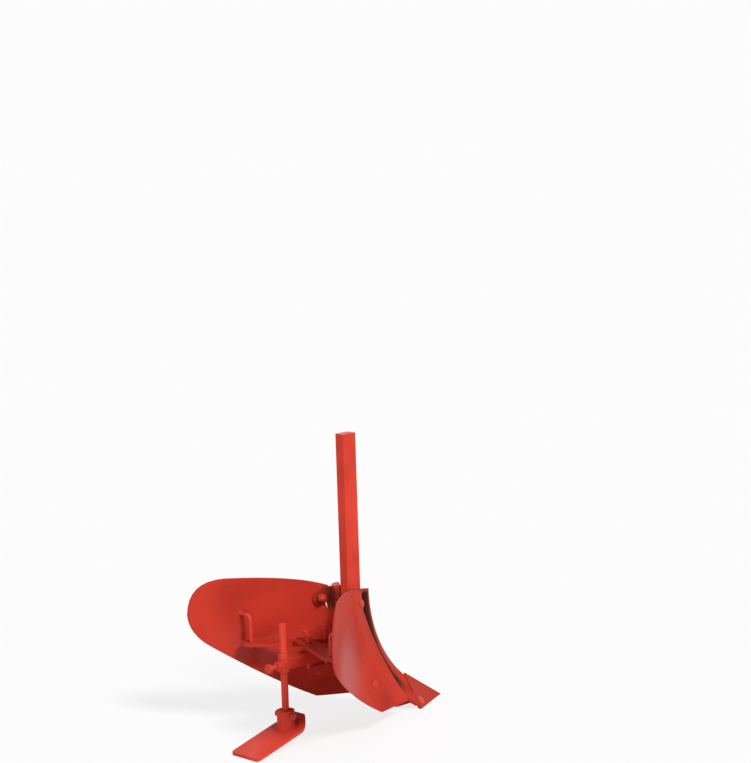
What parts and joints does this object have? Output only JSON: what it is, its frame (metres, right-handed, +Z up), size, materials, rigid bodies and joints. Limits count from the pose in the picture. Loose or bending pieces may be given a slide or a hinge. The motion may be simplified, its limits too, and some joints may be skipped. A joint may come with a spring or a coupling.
{
  "type": "walk behind ridger",
  "caption": "Soil ridger for a walking tractor: bent shank with folded shin and pointed share, hinged curved wings set by flat braces on drop pins, and a height-set skid foot.",
  "frame": {"origin": "on the ground under the middle of the object's length and width", "axes": "+X to the tool's right, +Y forward along its travel, +Z up along the shank"},
  "size_m": [0.3548, 0.4778, 0.507],
  "materials": {
    "red_paint": "gloss"
  },
  "bodies": {
    "frame": {"shank": "red_paint", "shin": "red_paint", "share": "red_paint", "share_seat": "red_paint", "share_bolts": "red_paint", "left_hinge_ears": "red_paint", "right_hinge_ears": "red_paint", "left_hinge_pins": "red_paint", "right_hinge_pins": "red_paint", "left_hinge_nuts": "red_paint", "right_hinge_nuts": "red_paint", "tail_arm": "red_paint", "pin_spacer": "red_paint", "collar": "red_paint", "clamp_nut": "red_paint"},
    "left_moldboard": {"left_wing": "red_paint", "left_cheek": "red_paint", "left_upper_strap": "red_paint", "left_lower_strap": "red_paint", "left_wing_bolt": "red_paint", "left_wing_nut": "red_paint", "left_strap_rivet": "red_paint", "left_hook_rod": "red_paint", "left_keeper": "red_paint"},
    "right_moldboard": {"right_wing": "red_paint", "right_cheek": "red_paint", "right_upper_strap": "red_paint", "right_lower_strap": "red_paint", "right_wing_bolt": "red_paint", "right_wing_nut": "red_paint", "right_strap_rivet": "red_paint", "right_hook_rod": "red_paint", "right_keeper": "red_paint"},
    "left_spreader": {"left_brace": "red_paint"},
    "right_spreader": {"right_brace": "red_paint"},
    "skid": {"skid_post": "red_paint", "foot": "red_paint", "foot_socket": "red_paint", "socket_bolt": "red_paint", "socket_nut": "red_paint"},
    "post_clamp": {"clamp_screw": "red_paint"},
    "front_pin": {"front_drop_pin": "red_paint"},
    "rear_pin": {"rear_drop_pin": "red_paint"}
  },
  "joints": [
    {"name": "right_wing_hinge", "type": "hinge", "parent": "frame", "child": "right_moldboard", "pos_m": [0.02, 0.00705, 0.22887], "axis": [0, -0.2672, 0.9636], "range_deg": [-6, 6]},
    {"name": "left_wing_hinge", "type": "hinge", "parent": "frame", "child": "left_moldboard", "pos_m": [-0.02, 0.00705, 0.22887], "axis": [0, 0.2672, -0.9636], "range_deg": [-6, 6]},
    {"name": "right_brace_pivot", "type": "hinge", "parent": "right_moldboard", "child": "right_spreader", "pos_m": [0.097, -0.12695, 0.1631], "axis": [0, 0, 1], "range_deg": [-2.5, 2.5]},
    {"name": "left_brace_pivot", "type": "hinge", "parent": "left_moldboard", "child": "left_spreader", "pos_m": [-0.097, -0.12695, 0.1549], "axis": [0, 0, -1], "range_deg": [-2.5, 2.5]},
    {"name": "skid_height", "type": "slide", "parent": "frame", "child": "skid", "axis": [0, 0, 1], "range_m": [-0.04, 0.06]},
    {"name": "clamp_turn", "type": "hinge", "parent": "frame", "child": "post_clamp", "pos_m": [0, -0.14295, 0.138], "axis": [0, -1, 0], "continuous": true},
    {"name": "front_pin_lift", "type": "slide", "parent": "frame", "child": "front_pin", "axis": [0, 0, 1], "range_m": [0, 0.06]},
    {"name": "rear_pin_lift", "type": "slide", "parent": "frame", "child": "rear_pin", "axis": [0, 0, 1], "range_m": [0, 0.06]}
  ],
  "couplings": [
    {"joint": "right_brace_pivot", "follows": "right_wing_hinge", "ratio": 0.2328},
    {"joint": "left_brace_pivot", "follows": "left_wing_hinge", "ratio": 0.2372}
  ]
}
